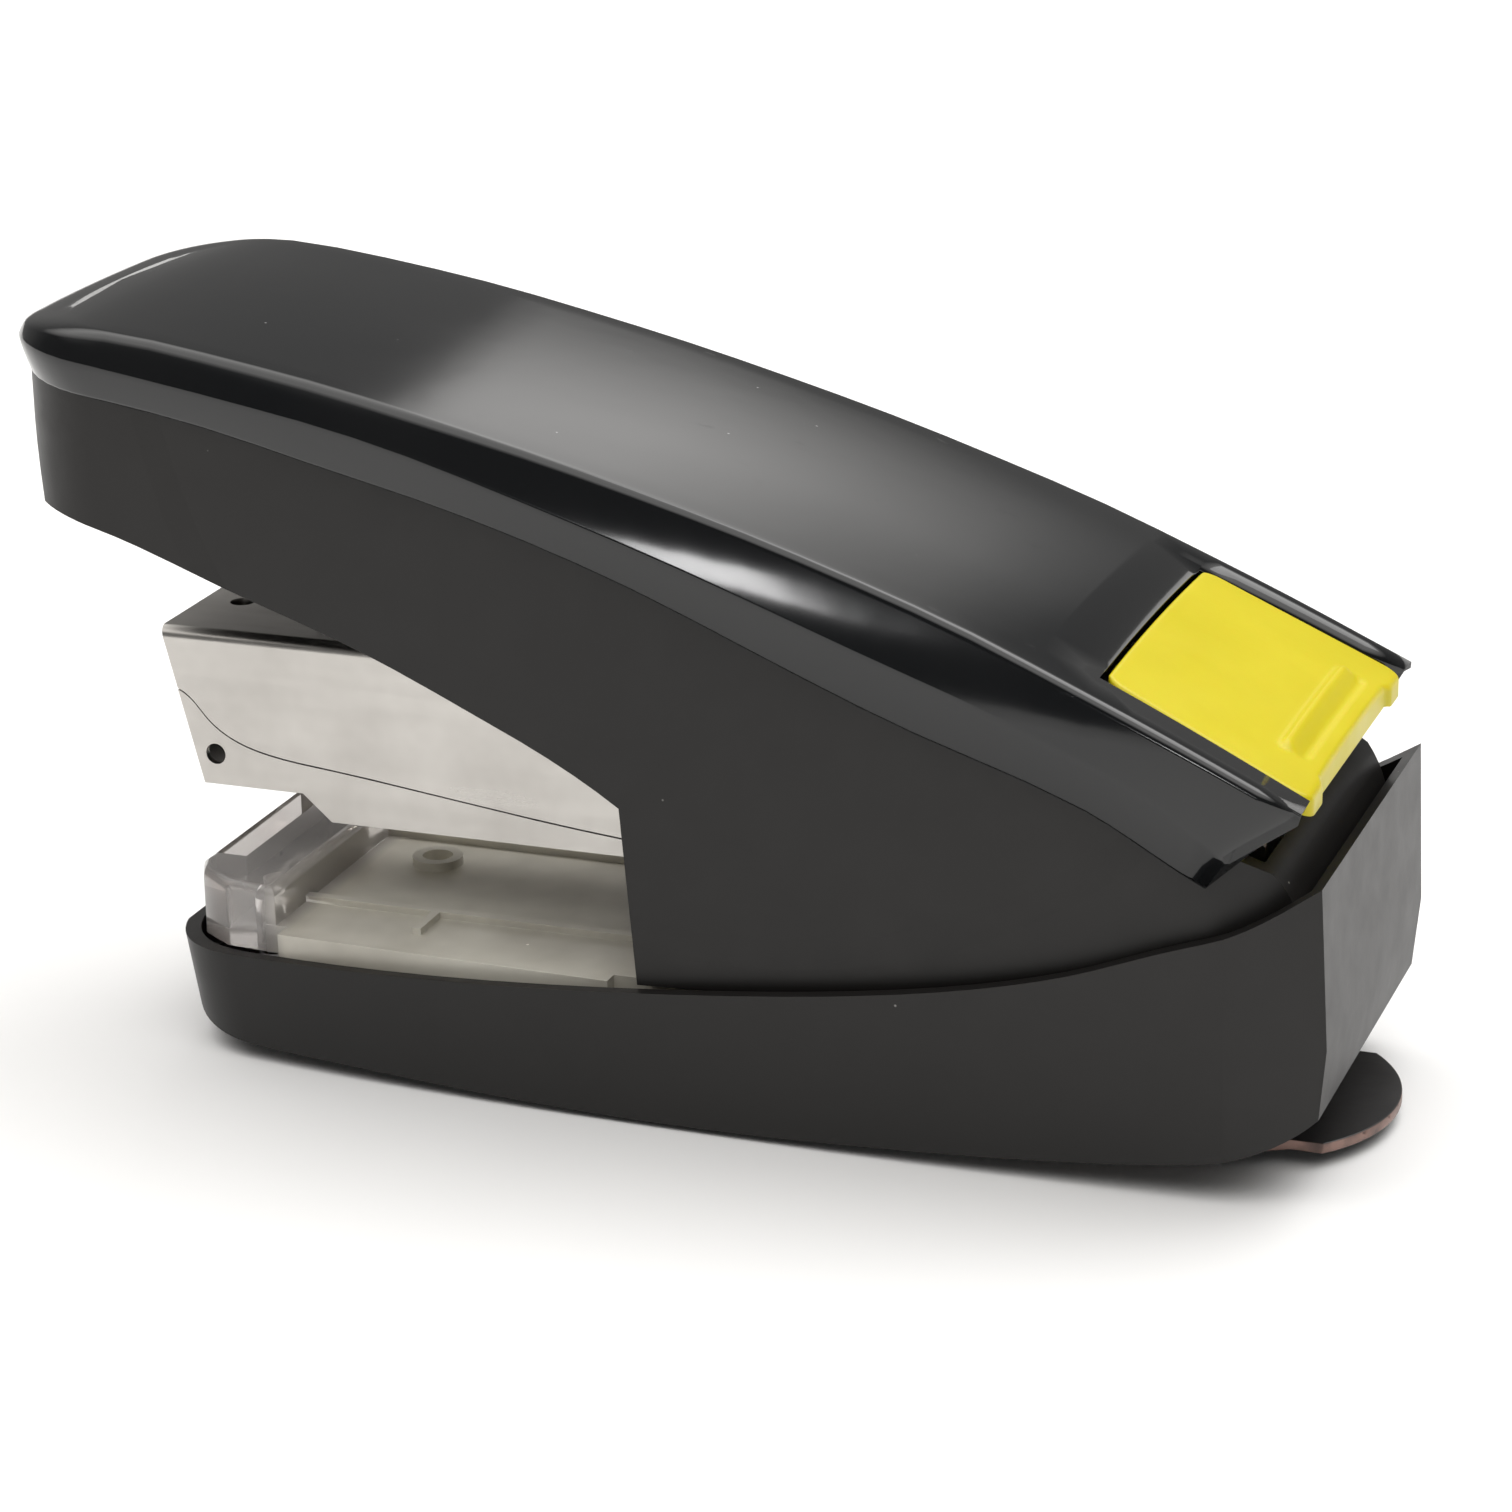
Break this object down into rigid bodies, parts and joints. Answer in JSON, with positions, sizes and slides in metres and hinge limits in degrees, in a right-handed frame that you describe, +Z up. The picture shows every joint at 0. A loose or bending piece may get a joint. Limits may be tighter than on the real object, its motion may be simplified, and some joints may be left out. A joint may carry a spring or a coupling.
{
  "type": "stapler",
  "caption": "Hand stapler with a sprung handle, a front-loading staple tray released by a rear button, and a clear paper table",
  "frame": {"origin": "middle of the footprint, on the surface the stapler stands on", "axes": "+Z up, -X to the nose where the staples leave, +X to the pivot end, +Y to the left seen from the rear"},
  "size_m": [0.115, 0.0398, 0.0631],
  "materials": {
    "black_satin": "satin black",
    "black_satin_inner": "satin black",
    "black_gloss": "high gloss black",
    "yellow": "semi gloss yellow",
    "clear_plastic": "clear",
    "rubber": "matt",
    "chrome": "bright nickel plating",
    "steel_black": "black enamel",
    "steel_zinc": "zinc plated",
    "steel_hard": "hardened",
    "spring_wire": "drawn wire",
    "staple_steel": "bright"
  },
  "bodies": {
    "base": {"base_shell": "black_satin", "base_plate": "steel_black", "foot_pads": "rubber", "base_screws": "steel_zinc", "pivot_bracket": "steel_zinc", "bracket_rivets": "steel_zinc", "main_pin": "steel_zinc", "clincher": "steel_hard", "table_guides": "steel_zinc", "table_springs": "spring_wire", "return_spring": "spring_wire"},
    "table": {"clear_table": "clear_plastic"},
    "magazine": {"magazine_housing": "chrome", "spring_seat": "steel_zinc", "button_pin": "steel_zinc", "button_spring": "spring_wire", "latch_pin": "steel_zinc", "latch_spring": "spring_wire", "eject_spring": "spring_wire"},
    "tray": {"staple_tray": "chrome", "staple_rail": "steel_zinc", "staple_strip": "staple_steel", "pusher_rod": "steel_zinc", "pusher_spring": "spring_wire"},
    "pusher": {"staple_pusher": "black_satin_inner"},
    "latch": {"tray_latch": "steel_zinc"},
    "button": {"release_button": "yellow"},
    "handle": {"handle_cover": "black_gloss", "handle_body": "black_satin", "handle_plate": "steel_zinc", "handle_screws": "steel_zinc", "handle_spring": "spring_wire", "driver_posts": "steel_zinc", "driver_arm": "steel_zinc", "driver_blade": "steel_hard"}
  },
  "joints": [
    {"name": "magazine_press", "type": "hinge", "parent": "base", "child": "magazine", "pos_m": [0.0436, 0, 0.021], "axis": [0, 1, 0], "range_deg": [-5.5, 0], "stiffness_Nm_per_rad": 2.5, "deforming": ["return_spring"]},
    {"name": "handle_press", "type": "hinge", "parent": "magazine", "child": "handle", "pos_m": [0.0436, 0, 0.021], "axis": [0, 1, 0], "range_deg": [-4.9, 0], "stiffness_Nm_per_rad": 5, "deforming": ["handle_spring"]},
    {"name": "table_press", "type": "slide", "parent": "base", "child": "table", "axis": [0, 0, 1], "range_m": [-0.0022, 0], "deforming": ["table_springs"]},
    {"name": "button_press", "type": "hinge", "parent": "magazine", "child": "button", "pos_m": [0.0386, 0, 0.0324], "axis": [0, 1, 0], "range_deg": [0, 8], "stiffness_Nm_per_rad": 0.15},
    {"name": "latch_lift", "type": "hinge", "parent": "magazine", "child": "latch", "pos_m": [0.0326, 0, 0.027], "axis": [0, 1, 0], "range_deg": [0, 4.2]},
    {"name": "tray_slide", "type": "slide", "parent": "magazine", "child": "tray", "axis": [-1, 0, 0], "range_m": [0, 0.036], "deforming": ["eject_spring"]},
    {"name": "pusher_slide", "type": "slide", "parent": "tray", "child": "pusher", "axis": [1, 0, 0], "range_m": [0, 0.012], "stiffness_N_per_m": 60, "deforming": ["pusher_spring"]}
  ],
  "couplings": [
    {"joint": "table_press", "follows": "magazine_press", "m_per_rad": 0.022918},
    {"joint": "latch_lift", "follows": "button_press", "ratio": 0.525}
  ]
}
